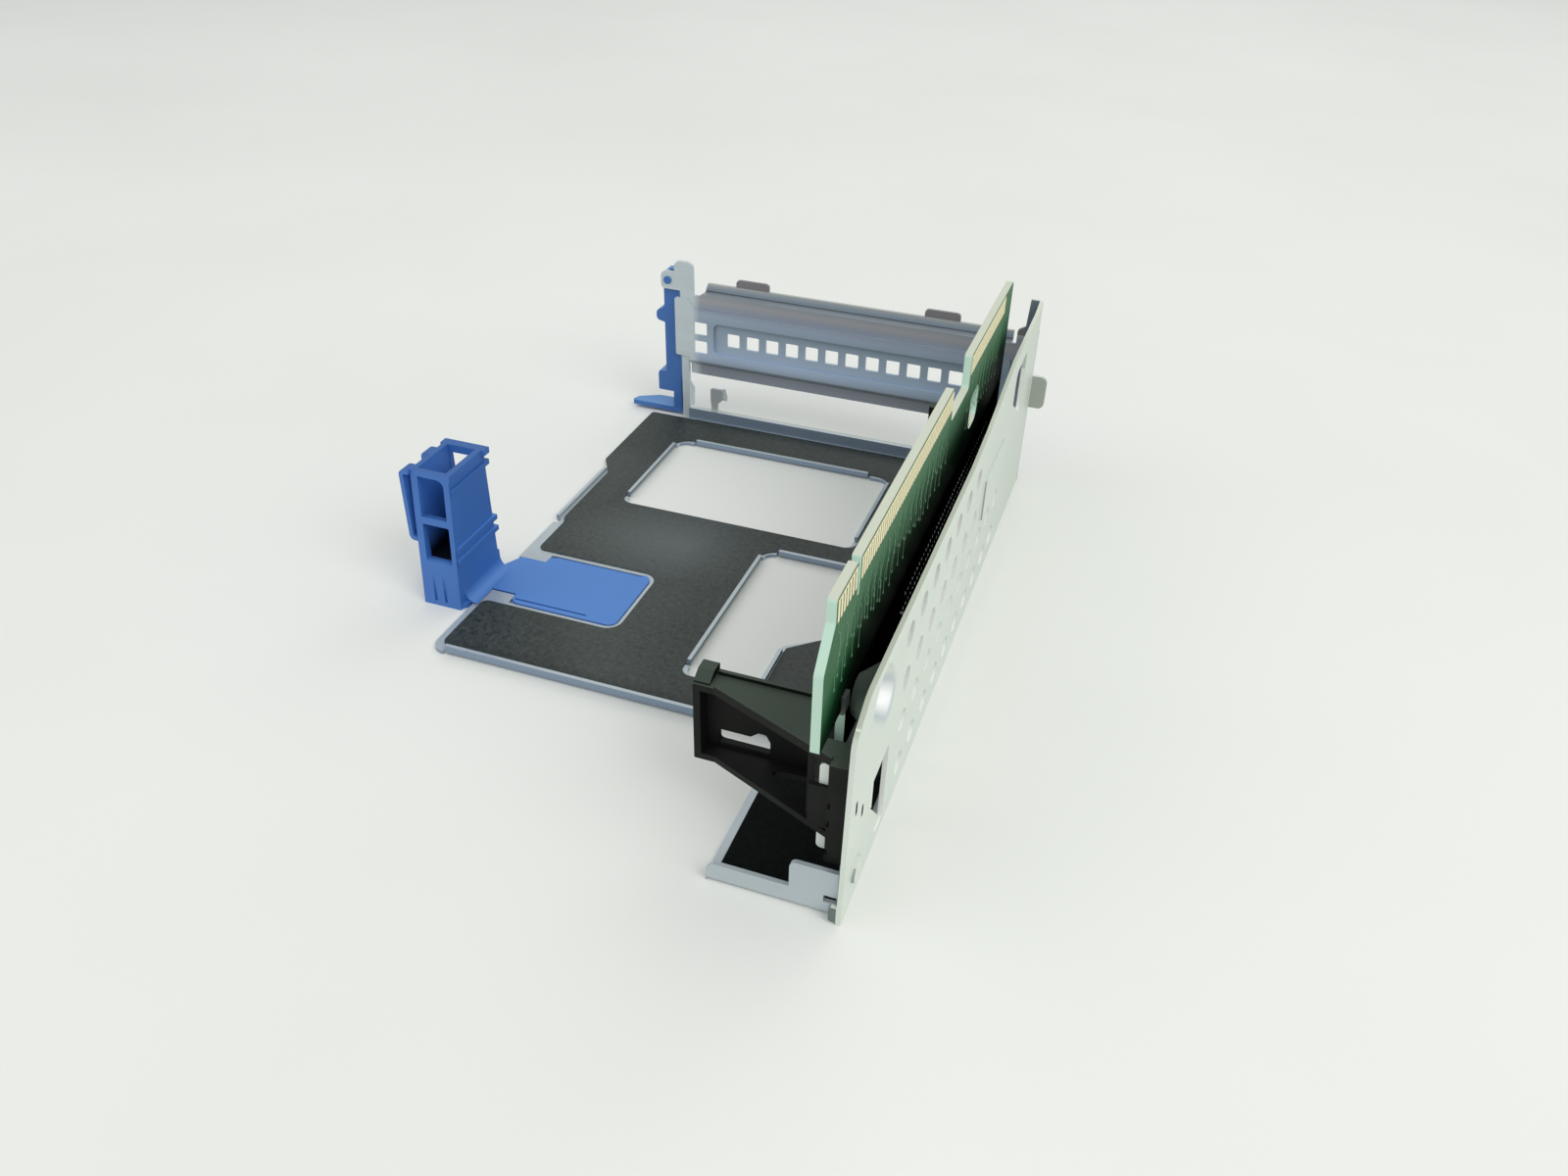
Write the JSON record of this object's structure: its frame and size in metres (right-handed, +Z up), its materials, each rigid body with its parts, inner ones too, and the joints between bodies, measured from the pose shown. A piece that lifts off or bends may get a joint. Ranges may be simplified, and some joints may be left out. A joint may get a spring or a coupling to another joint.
{
  "type": "riser cage bracket",
  "caption": "Sheet-metal riser cage for a server with film-covered base, vented side wall, riser board, rear card frame, hinged card latch and touch-point tower.",
  "frame": {"origin": "on the underside, at the corner where the side wall's outer face meets the rear frame's inner face", "axes": "+X out through the side wall, +Y to the rear through the card frame, +Z up from the base"},
  "size_m": [0.1424, 0.1986, 0.0741],
  "materials": {
    "galvanised": "satin",
    "frame_steel": "satin",
    "film": "matte",
    "blue_plastic": "satin",
    "black_plastic": "satin",
    "board_green": "satin",
    "gold": "polished",
    "tin": "polished",
    "ceramic": "satin"
  },
  "bodies": {
    "cage": {"base_plate": "galvanised", "insulator_film": "film", "side_wall": "galvanised", "wall_rivet": "tin", "rear_frame": "frame_steel", "slot_filler": "frame_steel", "touch_tower": "blue_plastic", "riser_board": "board_green", "edge_contacts": "gold", "card_connector": "black_plastic", "connector_contacts": "gold", "solder_joints": "tin", "connector_pegs": "tin", "card_guide": "black_plastic", "board_screws": "tin", "board_nuts": "tin", "board_clip": "tin", "bypass_capacitors": "ceramic"},
    "latch": {"card_latch": "blue_plastic"}
  },
  "joints": [
    {"name": "latch_hinge", "type": "hinge", "parent": "cage", "child": "latch", "pos_m": [-0.1187, 0.0005, 0.048], "axis": [0, 1, 0], "range_deg": [0, 90]}
  ]
}
